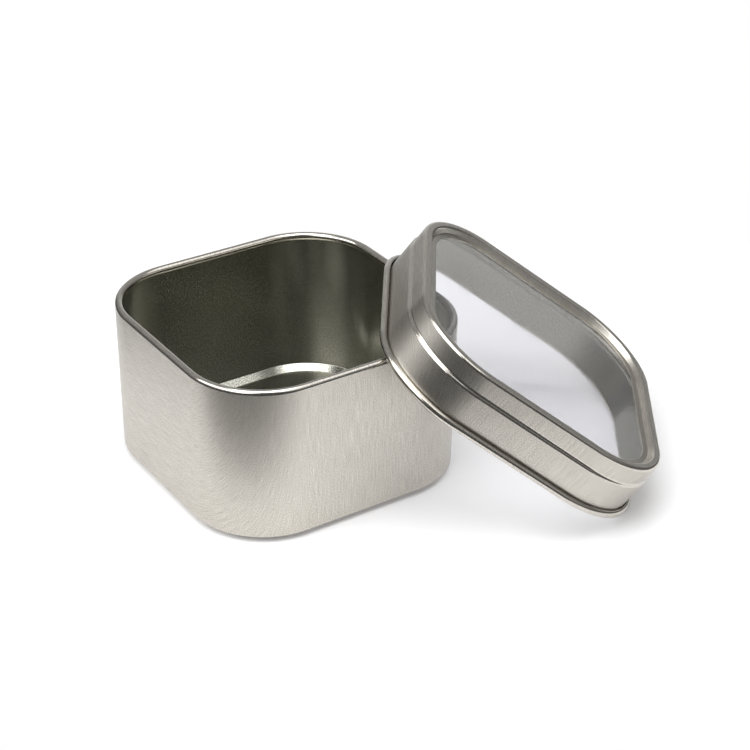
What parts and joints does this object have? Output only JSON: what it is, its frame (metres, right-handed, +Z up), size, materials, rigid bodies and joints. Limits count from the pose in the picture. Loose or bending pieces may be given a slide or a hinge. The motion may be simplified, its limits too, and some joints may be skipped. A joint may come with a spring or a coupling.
{
  "type": "window lid tin",
  "caption": "Square seamless tin with rounded corners and a rolled rim, and its slip lid with a clear window, taken off and leaning on a corner of the tin.",
  "frame": {"origin": "centre of the flat base that the tin stands on", "axes": "+Z up along the tin's axis, X and Y square to its sides; the lid leans over the corner between +X and +Y"},
  "size_m": [0.1101, 0.1207, 0.0534],
  "materials": {
    "tinplate": "satin",
    "clear_plastic": "clear"
  },
  "bodies": {
    "tin": {"tin_body": "tinplate"},
    "lid": {"lid_frame": "tinplate", "window_pane": "clear_plastic"}
  },
  "joints": [
    {"name": "lid_lift", "type": "slide", "parent": "tin", "child": "lid", "axis": [0, 0, 1], "range_m": [0, 0.06]}
  ]
}
